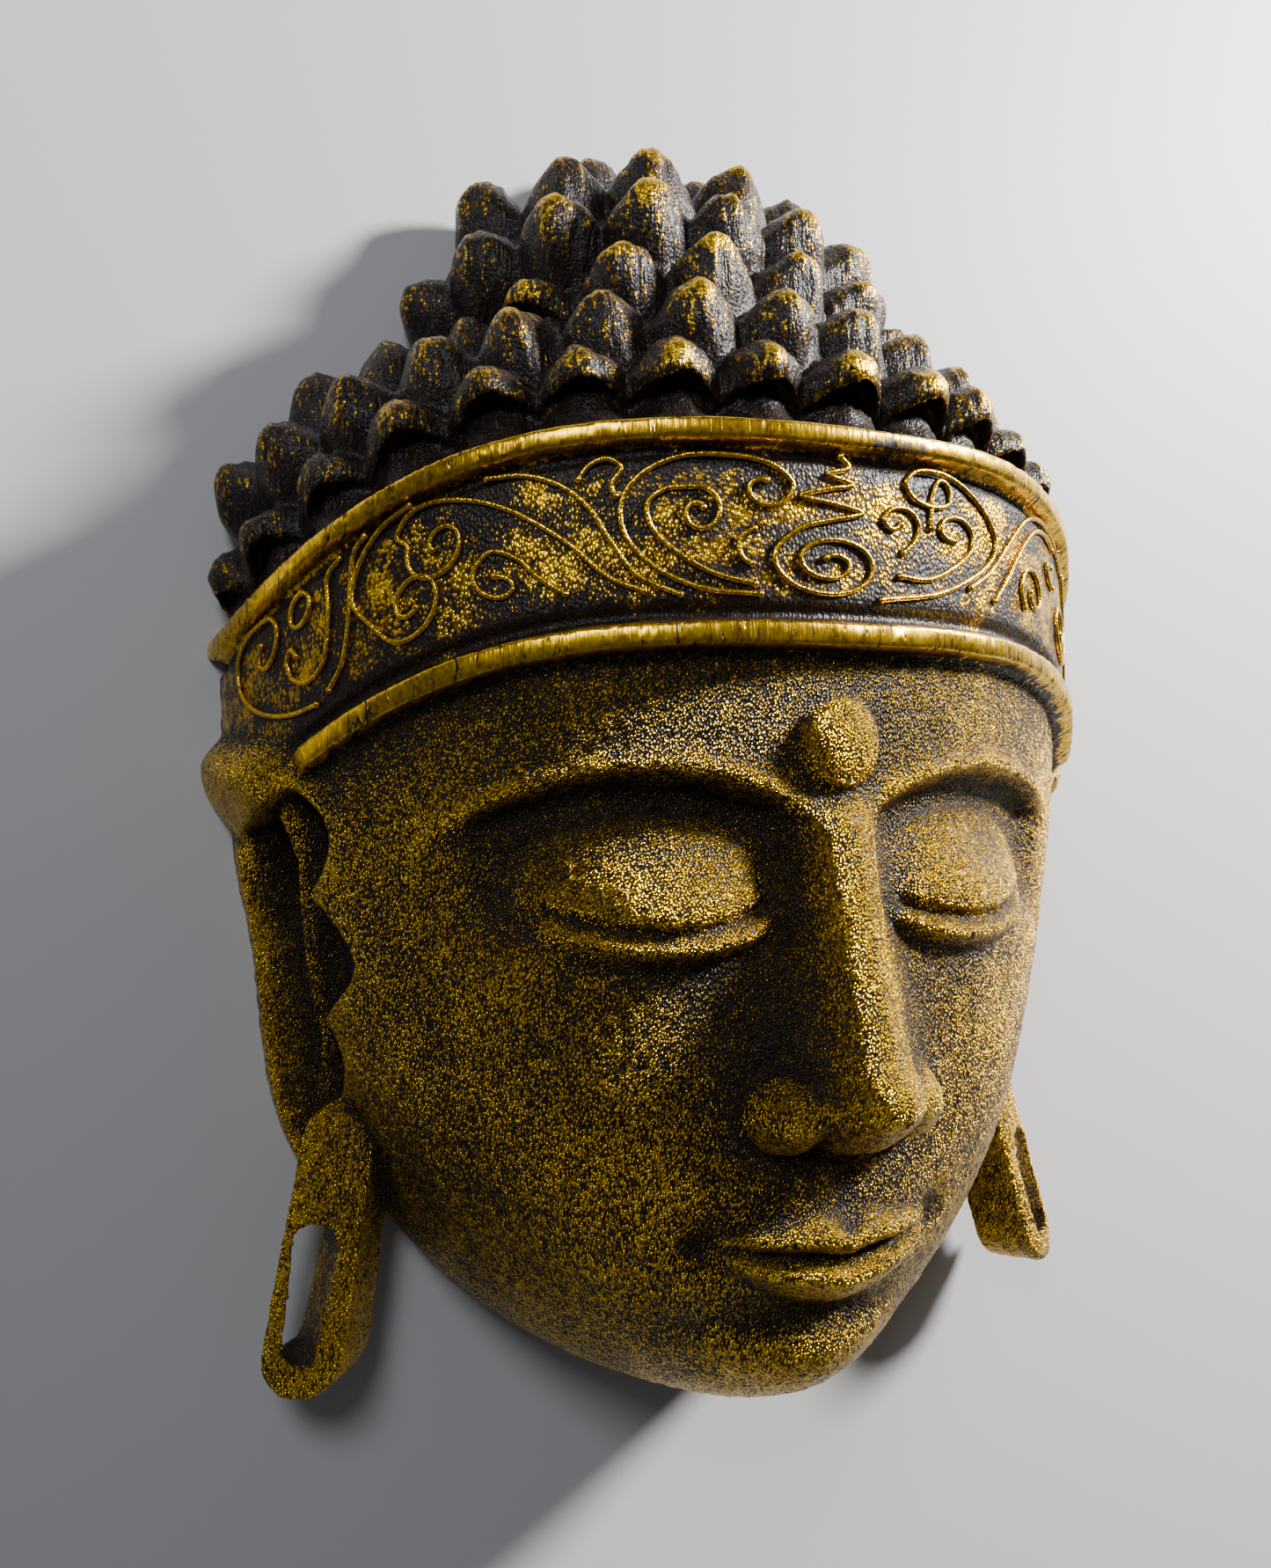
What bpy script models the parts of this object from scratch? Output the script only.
"""A carved wooden Buddha mask, modelled as it lies on its back.

The face looks up along +Z, the crown points along +Y, and the flat back rim lies in the plane Z = 0.
The whole mask is one carving: face, ears with pierced lobes, scroll band, hair curls and crown bun.
"""

import math

import bmesh
import bpy
import numpy as np

MM = 0.001

# Driving dimensions of the whole mask.
MASK_HEIGHT = 308 * MM
HEAD_WIDTH = 228 * MM
FOREHEAD_DEPTH = 92 * MM
FACE_DEPTH = 90 * MM
WALL = 19 * MM

# The crown bun above the head.
BUN_WIDTH = 120 * MM
BUN_DEPTH = 62 * MM
BUN_LEAN = -2 * MM

# The band round the brow: two raised rims with a sunk panel between them.
BAND_HEIGHT = 46.5 * MM
BAND_RELIEF = 5 * MM
UPPER_RIM = 6 * MM
LOWER_RIM = 6.5 * MM
PANEL_SINK = 2.6 * MM
GROOVE_WIDTH = 3 * MM
GROOVE_SINK = 4.2 * MM
EDGE_SLOPE = 1.2 * MM

# The long ears: how far they stand out of the sides at their top, at their waist and at their foot.
EAR_TOP_RELIEF = 8 * MM
EAR_WAIST_RELIEF = 3 * MM
EAR_FOOT_RELIEF = 11 * MM

# The hair curls, rounded cones in staggered rows, that start this far behind the band. The first two
# rows are a row spacing apart, and each further row is the growth further from the one below it.
FRONT_RECESS = 13 * MM
SIDE_RECESS = 5 * MM
CURL_HEIGHT = 15.8 * MM
CURL_SPACING = 20.5 * MM
CURL_ROW_SPACING = 15.5 * MM
CURL_ROW_GROWTH = 2.6 * MM

# How far a curl reaches from its root, and the share of that reach, squared, that its tip is rounded by.
CURL_REACH = 0.61 * CURL_SPACING
TIP_ROUNDING = 0.03

# The round mark on the forehead.
BROW_MARK_DIAMETER = 19 * MM
BROW_MARK_HEIGHT = 4.8 * MM

# The hanging ear lobes, thick plates turned outwards, and the slot through each.
LOBE_WIDTH = 20 * MM
LOBE_DEPTH = 24 * MM
LOBE_THICKNESS = 17 * MM
LOBE_TURN = math.radians(35)
LEFT_LOBE_SPLAY = 8.5 * MM
RIGHT_LOBE_SPLAY = 13 * MM
SLOT_WIDTH = 9 * MM
SLOT_LENGTH = 32 * MM

# Free carving keeps its places as shares of the mask's height: one part in 308 of it.
UNIT = MASK_HEIGHT / 308

# Heights on the face. The canon of a drawn head sets them: eyes halfway between crown and chin,
# nose halfway between brow and chin, mouth a third of the way from nose to chin.
CHIN_Y = -153.5 * UNIT
CROWN_Y = 87 * UNIT
BUN_TOP_Y = 141 * UNIT
EYE_Y = (CHIN_Y + CROWN_Y) / 2
BROW_Y = EYE_Y + 18 * UNIT
NOSE_Y = (BROW_Y + CHIN_Y) / 2
MOUTH_Y = NOSE_Y + (CHIN_Y - NOSE_Y) / 3
FACE_WIDTH = 0.81 * HEAD_WIDTH
EYE_WIDTH = FACE_WIDTH / 5
BAND_Y = 15 * UNIT
BAND_TOP_Y = BAND_Y + BAND_HEIGHT
WIDEST_Y = 25 * UNIT
HAIR_SIDE_Y = 35 * UNIT
SHOULDER_Y = 88 * UNIT
EAR_TOP_Y = 7 * UNIT
EAR_FOOT_Y = -92 * UNIT
ARCH_DROP = 35 * UNIT
ARCH_POWER = 4.2
CROSS_POWER = 1.97
SKIRT = 12 * UNIT
RECESS_RUN = 3 * UNIT

FACE_ROWS = 96
PANEL_ROWS = 10
HAIR_ROWS = 78
COLUMNS = 190
BODY_TRIANGLES = 8600
SKIN_STEP = 1.0 * MM
SEAM = 0.03 * MM
HOLLOW_ROWS = 14
HOLLOW_COLUMNS = 20


def smooth(low, high, value):
    """0 below low, 1 above high, and an even S between them."""
    t = np.clip((value - low) / (high - low), 0, 1)
    return t * t * (3 - 2 * t)


def mound(across, along, half_width, half_length):
    """A soft round rise, 1 in its middle."""
    return np.exp(-((across / half_width) ** 2) - (along / half_length) ** 2)


def dome(across, along, half_width, half_length, power=0.5):
    """A rise with a clear edge, 1 in its middle and 0 outside its oval."""
    inside = 1 - (across / half_width) ** 2 - (along / half_length) ** 2
    return np.clip(inside, 0, None) ** power


def rounding(distance, reach, power):
    """The share of its full size that a form keeps this far towards its rounded end."""
    t = np.clip(distance / reach, 0, 1)
    return (1 - t**power) ** (1 / power)


def blended(first, second, hardness=5):
    """The larger of two sizes, with a soft corner where they cross."""
    return (first**hardness + second**hardness) ** (1 / hardness)


def half_width(y, level, inset=0.0):
    """Half the head's width at height y. The band keeps its full width, and the hair above it narrows."""
    over_band = smooth(BAND_TOP_Y, BAND_TOP_Y + RECESS_RUN, level)
    jaw = rounding(WIDEST_Y - y, WIDEST_Y - CHIN_Y - inset, 2.15)
    shoulder = rounding(y - HAIR_SIDE_Y, SHOULDER_Y - HAIR_SIDE_Y - inset, 3)
    bun = rounding(y - CROWN_Y, BUN_TOP_Y - CROWN_Y - inset, 2.6)
    head = (HEAD_WIDTH / 2 - BAND_RELIEF - SIDE_RECESS * over_band - inset) * jaw
    hair = blended(head * shoulder, (BUN_WIDTH / 2 - inset) * bun * jaw)
    return head + (hair - head) * over_band


def half_depth(level, inset=0.0):
    """How far the middle line of the head stands out from the back plane."""
    over_band = smooth(BAND_TOP_Y, BAND_TOP_Y + RECESS_RUN, level)
    fullness = FACE_DEPTH + (FOREHEAD_DEPTH - FACE_DEPTH) * smooth(EYE_Y, BAND_Y, level)
    jaw = rounding(WIDEST_Y - level, WIDEST_Y - CHIN_Y - inset, 4)
    brow = rounding(level - BAND_TOP_Y, CROWN_Y + 20 * UNIT - BAND_TOP_Y - inset, 2)
    bun = rounding(level - CROWN_Y, BUN_TOP_Y - CROWN_Y - inset, 1.7)
    head = (fullness - FRONT_RECESS * over_band - inset) * jaw * brow
    return blended(head, (BUN_DEPTH - inset) * bun * jaw, 8)


def arch(level):
    """How far a level line sinks from the middle of the face to its sides."""
    rising = smooth(CHIN_Y, BAND_Y, level)
    falling = 1 - smooth(BAND_TOP_Y, BUN_TOP_Y, level)
    return ARCH_DROP * rising * falling


def head_point(turn, level, inset=0.0):
    """A point of the plain head: turn is -90 to 90 degrees round it, level its height in the middle."""
    side = np.sign(np.sin(turn)) * np.abs(np.sin(turn)) ** (2 / CROSS_POWER)
    front = np.abs(np.cos(turn)) ** (2 / CROSS_POWER)
    y = level - arch(level) * np.abs(side) ** ARCH_POWER
    lean = BUN_LEAN * smooth(BAND_TOP_Y, CROWN_Y + 10 * UNIT, level)
    return np.stack([half_width(y, level, inset) * side + lean, y, half_depth(level, inset) * front], axis=-1)


def nose_relief(x, y):
    """A straight narrow bridge that widens to a round tip between two wings."""
    root = BROW_Y + 2 * UNIT
    tip = NOSE_Y + 10 * UNIT
    run = np.clip((root - y) / (root - tip), 0, 1)
    half = (6.5 + 5 * run**1.5) * UNIT
    height = (4 + 17 * run**1.2) * UNIT
    bridge = height * np.exp(-((np.abs(x) / (1.25 * half)) ** 2.3))
    bridge *= smooth(NOSE_Y - 2 * UNIT, NOSE_Y + 8 * UNIT, y)
    bridge *= 1 - smooth(root - 9 * UNIT, root + 4 * UNIT, y)
    ball = 21.5 * UNIT * dome(x, y - tip, 13 * UNIT, 12.5 * UNIT, 0.6)
    wing = 13.5 * UNIT * dome(np.abs(x) - 14 * UNIT, y - tip + 2.5 * UNIT, 8.5 * UNIT, 9 * UNIT, 0.6)
    return blended(blended(bridge, ball, 6), wing, 5)


def eye_relief(x, y):
    """A lowered lid in a shallow socket under a bowed brow."""
    out = np.abs(x)
    brow = BROW_Y + 8 * UNIT * (1 - ((out - 1.1 * EYE_WIDTH) / (0.85 * EYE_WIDTH)) ** 2)
    below = brow - y
    span = smooth(5 * UNIT, 16 * UNIT, out) * (1 - smooth(1.7 * EYE_WIDTH, 2.3 * EYE_WIDTH, out))
    socket = -6.5 * UNIT * span * smooth(0, 6 * UNIT, below) * (1 - smooth(15 * UNIT, 38 * UNIT, below))
    ridge = 1.4 * UNIT * span * np.exp(-((below / (2.6 * UNIT)) ** 2))
    along = out - EYE_WIDTH
    lid = 7.5 * UNIT * dome(along, y - EYE_Y - 1 * UNIT, 0.74 * EYE_WIDTH, 16 * UNIT, 0.8)
    seam = EYE_Y - 7.5 * UNIT + 4.5 * UNIT * (along / (0.55 * EYE_WIDTH)) ** 2
    length = 1 - smooth(0.48 * EYE_WIDTH, 0.64 * EYE_WIDTH, np.abs(along))
    seam_cut = -2.4 * UNIT * length * np.exp(-(((y - seam) / (1.3 * UNIT)) ** 2))
    lower_lid = 1.6 * UNIT * length * np.exp(-(((y - seam + 3.8 * UNIT) / (1.8 * UNIT)) ** 2))
    return socket + ridge + lid + seam_cut + lower_lid


def mouth_relief(x, y):
    """Closed full lips with a faint lift at the corners."""
    half = 0.72 * EYE_WIDTH
    share = np.clip(np.abs(x) / half, 0, 1)
    parting = MOUTH_Y + 2.6 * UNIT * share**2 - 0.8 * UNIT * np.exp(-((x / (4 * UNIT)) ** 2))
    bow = 1.6 * UNIT * np.exp(-((x / (3.2 * UNIT)) ** 2))
    upper_height = (2 + 7.5 * (1 - share**1.6)) * UNIT - bow
    lower_height = (2 + 9.5 * (1 - share**2)) * UNIT
    up = np.clip((y - parting) / upper_height, 0, 1)
    down = np.clip((parting - y) / lower_height, 0, 1)
    fullness = (1 - share**2) ** 0.8
    lips = 4.6 * UNIT * np.sin(math.pi * up**0.8) + 5.8 * UNIT * np.sin(math.pi * down**0.8)
    cut = -2 * UNIT * fullness * np.exp(-(((y - parting) / (1.2 * UNIT)) ** 2))
    muzzle = 5 * UNIT * mound(x, y - MOUTH_Y - 1 * UNIT, 30 * UNIT, 20 * UNIT)
    corner_x = np.abs(x) - 1.02 * half
    corner = -2.6 * UNIT * mound(corner_x, y - MOUTH_Y - 3 * UNIT, 5 * UNIT, 5 * UNIT)
    groove = -1.1 * UNIT * mound(x, y - (NOSE_Y + MOUTH_Y) / 2 - 1 * UNIT, 3.2 * UNIT, 6 * UNIT)
    return lips * fullness + cut + muzzle + corner + groove


def face_relief(x, y):
    """Everything that stands out from the plain oval of the face."""
    chin = 8 * UNIT * mound(x, y - CHIN_Y - 17 * UNIT, 21 * UNIT, 13 * UNIT)
    under_lip = -2.5 * UNIT * mound(x, y - MOUTH_Y + 15 * UNIT, 19 * UNIT, 4.5 * UNIT)
    cheeks = 3 * UNIT * mound(np.abs(x) - 50 * UNIT, y - NOSE_Y - 4 * UNIT, 25 * UNIT, 26 * UNIT)
    mark_y = BAND_Y - 18.5 * UNIT
    mark = BROW_MARK_HEIGHT * dome(x, y - mark_y, BROW_MARK_DIAMETER / 2, BROW_MARK_DIAMETER / 2)
    return nose_relief(x, y) + eye_relief(x, y) + mouth_relief(x, y) + chin + under_lip + cheeks + mark


def ear_relief(y, z):
    """How far the ear's back rim and its rounded top stand out of the side of the head."""
    waist = EAR_TOP_Y - 45 * UNIT
    back = 1 - smooth(6 * UNIT, 13 * UNIT, z)
    flare = smooth(waist, EAR_FOOT_Y, y)
    rim = EAR_WAIST_RELIEF + (EAR_FOOT_RELIEF - EAR_WAIST_RELIEF) * flare
    shoulder = smooth(EAR_TOP_Y - 36 * UNIT, EAR_TOP_Y - 12 * UNIT, y)
    crest = shoulder * (1 - smooth(26 * UNIT, 46 * UNIT, z))
    length = smooth(EAR_FOOT_Y - 8 * UNIT, EAR_FOOT_Y + 2 * UNIT, y)
    length = length * (1 - smooth(EAR_TOP_Y - 11 * UNIT, EAR_TOP_Y + 2 * UNIT, y + 0.12 * z))
    return np.maximum(rim * back, EAR_TOP_RELIEF * crest) * length


def ear_hollow(y, z):
    """The scalloped hollow of a long ear, with a rib standing in it."""
    scallop = np.abs(np.sin(math.pi * (y - EAR_TOP_Y + 13 * UNIT) / (27 * UNIT)))
    length = smooth(EAR_FOOT_Y - 3 * UNIT, EAR_FOOT_Y + 47 * UNIT, y)
    inner = (8 + 25 * length + 9 * scallop) * UNIT
    outer = (5 + 8 * smooth(EAR_TOP_Y - 42 * UNIT, EAR_TOP_Y - 19 * UNIT, y)) * UNIT
    sides = np.minimum(z - outer, inner - z)
    ends = np.minimum(y - EAR_FOOT_Y, EAR_TOP_Y - 16 * UNIT - y)
    reach = np.minimum(sides, ends)
    hollow = -9.5 * UNIT * smooth(0, 4 * UNIT, reach)
    rib_line = 30 * UNIT + 0.31 * (y - EAR_TOP_Y + 19 * UNIT)
    rib = np.exp(-(((z - rib_line) / (2.4 * UNIT)) ** 2))
    return hollow + 6 * UNIT * rib * smooth(0, 7 * UNIT, reach)


def band_relief(above):
    """The band's profile, from the distance above its lower edge."""
    top = BAND_HEIGHT - above
    edge = EDGE_SLOPE
    rise = smooth(0, edge, above) * smooth(0, edge, top)
    inside = np.minimum(above - LOWER_RIM, top - UPPER_RIM)
    sink = GROOVE_SINK * smooth(-edge, 0, inside)
    swell = (GROOVE_SINK - PANEL_SINK) * smooth(GROOVE_WIDTH - edge, GROOVE_WIDTH, inside)
    return BAND_RELIEF * rise - sink + swell


def row_turns(level, spacing, stagger):
    """Even turns round the head at one level, a spacing apart along the surface."""
    fine = np.linspace(-math.pi / 2, math.pi / 2, 241)
    points = head_point(fine, np.full_like(fine, level))
    run = np.concatenate([[0], np.cumsum(np.linalg.norm(np.diff(points, axis=0), axis=1))])
    count = max(2, round(run[-1] / spacing))
    if count % 2 != stagger:
        count += 1
    places = (np.arange(count) + 0.5) / count * run[-1]
    return np.interp(places, run, fine)


def curl_rows():
    """The level of each row of curls up the middle of the hair."""
    levels = np.linspace(BAND_TOP_Y + RECESS_RUN, BUN_TOP_Y, 400)
    middle = head_point(np.zeros_like(levels), levels)
    run = np.concatenate([[0], np.cumsum(np.linalg.norm(np.diff(middle, axis=0), axis=1))])
    places = []
    place = 0.2 * CURL_SPACING
    while place < run[-1] - 0.3 * CURL_ROW_SPACING:
        places.append(place)
        place += CURL_ROW_SPACING + CURL_ROW_GROWTH * (len(places) - 1)
    return np.interp(places, run, levels)


def curl_roots():
    """The plain head's point under each curl, with its directions along the row, up and out."""
    roots = []
    for index, level in enumerate(curl_rows()):
        turns = row_turns(level, CURL_SPACING, index % 2)
        for turn in turns:
            point = head_point(turn, level)
            along = head_point(turn + 0.01, level) - point
            up = head_point(turn, level + 0.5 * UNIT) - point
            out = np.cross(along, up)
            frame = np.stack([along, np.cross(out, along), out])
            roots.append((point, frame / np.linalg.norm(frame, axis=1, keepdims=True)))
    return roots


def curl_relief(points):
    """The height of the hair over each point: cones with soft ridges that meet in valleys."""
    height = np.zeros(points.shape[:-1])
    for point, frame in curl_roots():
        apart = np.abs(frame @ (points - point).reshape(-1, 3).T) / CURL_REACH
        gap = ((apart**1.5).sum(axis=0) ** (2 / 1.5)).reshape(height.shape)
        height = np.maximum(height, 1 - (gap + TIP_ROUNDING) ** 0.82)
    return CURL_HEIGHT * height


def level_rows():
    """The levels of the surface rows, packed where the band's edges are."""
    down = 1 - np.cos(np.linspace(0.02, 1, FACE_ROWS) * math.pi / 2)
    face = CHIN_Y + (BAND_Y - CHIN_Y) * (0.45 * down + 0.55 * np.linspace(0.0004, 1, FACE_ROWS))
    lower = BAND_Y + np.array([EDGE_SLOPE, LOWER_RIM - EDGE_SLOPE, LOWER_RIM])
    panel_low = BAND_Y + LOWER_RIM + GROOVE_WIDTH
    panel_high = BAND_TOP_Y - UPPER_RIM - GROOVE_WIDTH
    panel = np.linspace(panel_low, panel_high, PANEL_ROWS)
    upper = BAND_TOP_Y - np.array([UPPER_RIM, UPPER_RIM - EDGE_SLOPE, EDGE_SLOPE, 0])
    grooves = [panel_low - EDGE_SLOPE, panel_high + EDGE_SLOPE]
    up = np.sin(np.linspace(0, 0.985, HAIR_ROWS + 1)[1:] * math.pi / 2)
    hair = BAND_TOP_Y + (BUN_TOP_Y - BAND_TOP_Y) * up
    return np.sort(np.concatenate([face, lower, grooves, panel, upper, hair]))


def carved_surface():
    """The carved front as a grid of points, one row for each level."""
    turns = np.linspace(-1, 1, COLUMNS)
    turns = (0.82 * turns + 0.18 * turns**3) * math.pi / 2
    turn, level = np.meshgrid(turns, level_rows())
    plain = head_point(turn, level)
    along = np.gradient(plain, axis=1)
    upward = np.gradient(plain, axis=0)
    normal = np.cross(along, upward)
    normal /= np.maximum(np.linalg.norm(normal, axis=-1, keepdims=True), 1e-12)
    x, y, z = np.moveaxis(plain, -1, 0)
    below_band = level < BAND_Y
    over_band = level > BAND_TOP_Y
    frontal = 1 - smooth(0.6, 0.86, np.abs(np.sin(turn)))
    face = face_relief(x, y) * frontal * (1 - smooth(BAND_Y - 5 * UNIT, BAND_Y, level))
    ear = ear_relief(y, z) * (1 - frontal)
    cover = smooth(0, EAR_WAIST_RELIEF, ear)
    band = np.where(below_band | over_band, 0, band_relief(level - BAND_Y)) * (1 - cover)
    ear += np.where(below_band, ear_hollow(y, z), 0) * (1 - frontal)
    curl = np.where(over_band, curl_relief(plain), 0)
    curl *= smooth(0, 2 * UNIT, level - BAND_TOP_Y) * (1 - 0.2 * np.sin(turn) ** 2)
    lifted = normal + np.array([0, 0.4, 0])
    lifted /= np.linalg.norm(lifted, axis=-1, keepdims=True)
    carved = plain + normal * (ear + band)[..., None] + lifted * curl[..., None]
    carved[..., 2] += face
    return carved


def new_object(name, points, faces):
    mesh = bpy.data.meshes.new(name)
    mesh.from_pydata([tuple(p) for p in points], [], faces)
    mesh.validate()
    made = bpy.data.objects.new(name, mesh)
    bpy.context.scene.collection.objects.link(made)
    return made


def closed_rows(rows):
    """Faces that join equal rings of points, with a fan at each end."""
    count = rows.shape[1]
    faces = []
    for i in range(rows.shape[0] - 1):
        for j in range(count):
            k = (j + 1) % count
            faces.append((i * count + j, i * count + k, (i + 1) * count + k, (i + 1) * count + j))
    last = (rows.shape[0] - 1) * count
    faces.append(tuple(range(count - 1, -1, -1)))
    faces.append(tuple(last + j for j in range(count)))
    return faces


def with_skirt(surface):
    """Each row closed behind the back plane, so that one flat cut leaves a true back."""
    left = surface[:, :1].copy()
    right = surface[:, -1:].copy()
    left[..., 2] = -SKIRT
    right[..., 2] = -SKIRT
    return np.concatenate([surface, right, left], axis=1)


def carved_head():
    rows = with_skirt(carved_surface())
    return new_object("buddha_mask", rows.reshape(-1, 3), closed_rows(rows))


def capsule(start, start_radius, end, end_radius, sides):
    """The outline of two circles joined by straight sides, as x, y points."""
    ahead = math.atan2(end[1] - start[1], end[0] - start[0])
    half_turn = np.linspace(-math.pi / 2, math.pi / 2, sides // 2)
    far = [
        (end[0] + end_radius * math.cos(ahead + a), end[1] + end_radius * math.sin(ahead + a))
        for a in half_turn
    ]
    near = [
        (start[0] - start_radius * math.cos(ahead + a), start[1] - start_radius * math.sin(ahead + a))
        for a in half_turn
    ]
    return np.array(far + near)


def lobe_line(side):
    """The middle line of a lobe, from under the ear to its rounded foot."""
    splay = RIGHT_LOBE_SPLAY if side > 0 else LEFT_LOBE_SPLAY
    start = (side * 91 * UNIT, EAR_FOOT_Y + 4 * UNIT)
    foot = (start[0] + side * splay, CHIN_Y + 9.5 * UNIT + LOBE_WIDTH / 2)
    return start, foot


def lobe(side):
    """A thick plate that hangs from the ear, turned outwards about its own length."""
    start, foot = lobe_line(side)
    half = LOBE_WIDTH / 2
    length = math.dist(start, foot)
    across = np.array([math.cos(LOBE_TURN), 0, -side * math.sin(LOBE_TURN)])
    down = np.array([foot[0] - start[0], foot[1] - start[1], 0]) / length
    front = np.array([side * math.sin(LOBE_TURN), 0, math.cos(LOBE_TURN)])
    rows = []
    for deep, eased in ((1, 3), (0.85, 0), (0.2, 0), (0.06, 1.5), (0, 4)):
        narrower = half - eased * UNIT
        outline = capsule((0, 0), 0.88 * narrower, (0, length), narrower, 24)
        origin = np.array([*start, LOBE_DEPTH]) - deep * LOBE_THICKNESS * front
        rows.append(origin + side * outline[:, :1] * across + outline[:, 1:] * down)
    rows = np.array(rows)
    return new_object("lobe_right" if side > 0 else "lobe_left", rows.reshape(-1, 3), closed_rows(rows))


def lobe_slot(side):
    start, foot = lobe_line(side)
    half = SLOT_WIDTH / 2
    length = math.dist(start, foot)
    low = 1 - 1 * UNIT / length
    high = low - (SLOT_LENGTH - SLOT_WIDTH) / length
    places = [
        (start[0] + (foot[0] - start[0]) * share, start[1] + (foot[1] - start[1]) * share)
        for share in (high, low)
    ]
    outline = capsule(places[0], half, places[1], 0.75 * half, 16)
    name = "slot_right" if side > 0 else "slot_left"
    return slab(name, [(outline, -2 * SKIRT), (outline, LOBE_DEPTH + SKIRT)])


def slab(name, outlines):
    """A closed upright solid through flat outlines, each given as (points, z)."""
    rows = np.array([[(x, y, z) for x, y in points] for points, z in outlines])
    return new_object(name, rows.reshape(-1, 3), closed_rows(rows))


def hollow():
    """The bowl behind the face: the plain head again, a wall's thickness inside it."""
    low = CHIN_Y + WALL
    high = BUN_TOP_Y - WALL
    share = (1 - np.cos(np.linspace(0.04, 0.96, HOLLOW_ROWS) * math.pi)) / 2
    turns = np.linspace(-math.pi / 2, math.pi / 2, HOLLOW_COLUMNS)
    y, turn = np.meshgrid(low + (high - low) * share, turns, indexing="ij")
    rows = np.stack(
        [half_width(y, y, WALL) * np.sin(turn), y, half_depth(y, 1.15 * WALL) * np.cos(turn)],
        axis=-1,
    )
    rows = with_skirt(rows)
    return new_object("hollow", rows.reshape(-1, 3), closed_rows(rows))


def behind_back():
    """A block that takes away everything behind the back plane."""
    reach = MASK_HEIGHT
    corners = [(-reach, -reach), (reach, -reach), (reach, reach), (-reach, reach)]
    return slab("behind_back", [(corners, -reach), (corners, 0)])


def add_boolean(target, tool, operation):
    modifier = target.modifiers.new(f"{operation.lower()} {tool.name}", "BOOLEAN")
    modifier.operation = operation
    modifier.object = tool
    tool.hide_render = True
    tool.display_type = "WIRE"


def gold_and_black():
    """Black-stained wood with gold paint brushed over it."""
    material = bpy.data.materials.new("gilded black wood")
    material.use_nodes = True
    shader = material.node_tree.nodes["Principled BSDF"]
    shader.inputs["Base Color"].default_value = (0.30, 0.20, 0.035, 1)
    shader.inputs["Roughness"].default_value = 0.45
    shader.inputs["Metallic"].default_value = 0.6
    return material


def centred(mask):
    """The finished mesh in place of its modifiers, with the middle of its box over the origin."""
    graph = bpy.context.evaluated_depsgraph_get()
    finished = bpy.data.meshes.new_from_object(mask.evaluated_get(graph))
    mask.modifiers.clear()
    mask.data = finished
    points = np.array([v.co for v in finished.vertices])
    middle = (points.min(axis=0) + points.max(axis=0)) / 2
    whole = bmesh.new()
    whole.from_mesh(finished)
    bmesh.ops.translate(whole, verts=whole.verts, vec=(-middle[0], -middle[1], 0))
    bmesh.ops.remove_doubles(whole, verts=whole.verts, dist=SEAM)
    bmesh.ops.dissolve_degenerate(whole, edges=whole.edges, dist=SEAM)
    bmesh.ops.triangulate(whole, faces=whole.faces)
    whole.to_mesh(finished)
    whole.free()


def join(target, others):
    """One mesh object from several."""
    whole = bmesh.new()
    for part in [target, *others]:
        whole.from_mesh(part.data)
    whole.to_mesh(target.data)
    whole.free()
    for part in others:
        bpy.data.objects.remove(part)


def triangle_count(mask):
    graph = bpy.context.evaluated_depsgraph_get()
    mesh = mask.evaluated_get(graph).to_mesh()
    mesh.calc_loop_triangles()
    return len(mesh.loop_triangles)


def build():
    for old in list(bpy.data.objects):
        bpy.data.objects.remove(old)
    mask = carved_head()
    join(mask, [lobe(-1), lobe(1)])
    fused = mask.modifiers.new("one skin over head and lobes", "REMESH")
    fused.mode = "VOXEL"
    fused.voxel_size = SKIN_STEP
    bpy.context.view_layer.update()
    ratio = BODY_TRIANGLES / triangle_count(mask)
    thinned = mask.modifiers.new("fewer faces", "DECIMATE")
    thinned.ratio = ratio
    thinned.use_collapse_triangulate = True
    add_boolean(mask, behind_back(), "DIFFERENCE")
    add_boolean(mask, hollow(), "DIFFERENCE")
    for side in (-1, 1):
        add_boolean(mask, lobe_slot(side), "DIFFERENCE")
    bpy.context.view_layer.update()
    centred(mask)
    mask.data.materials.clear()
    mask.data.materials.append(gold_and_black())
    mask.data.shade_flat()


build()
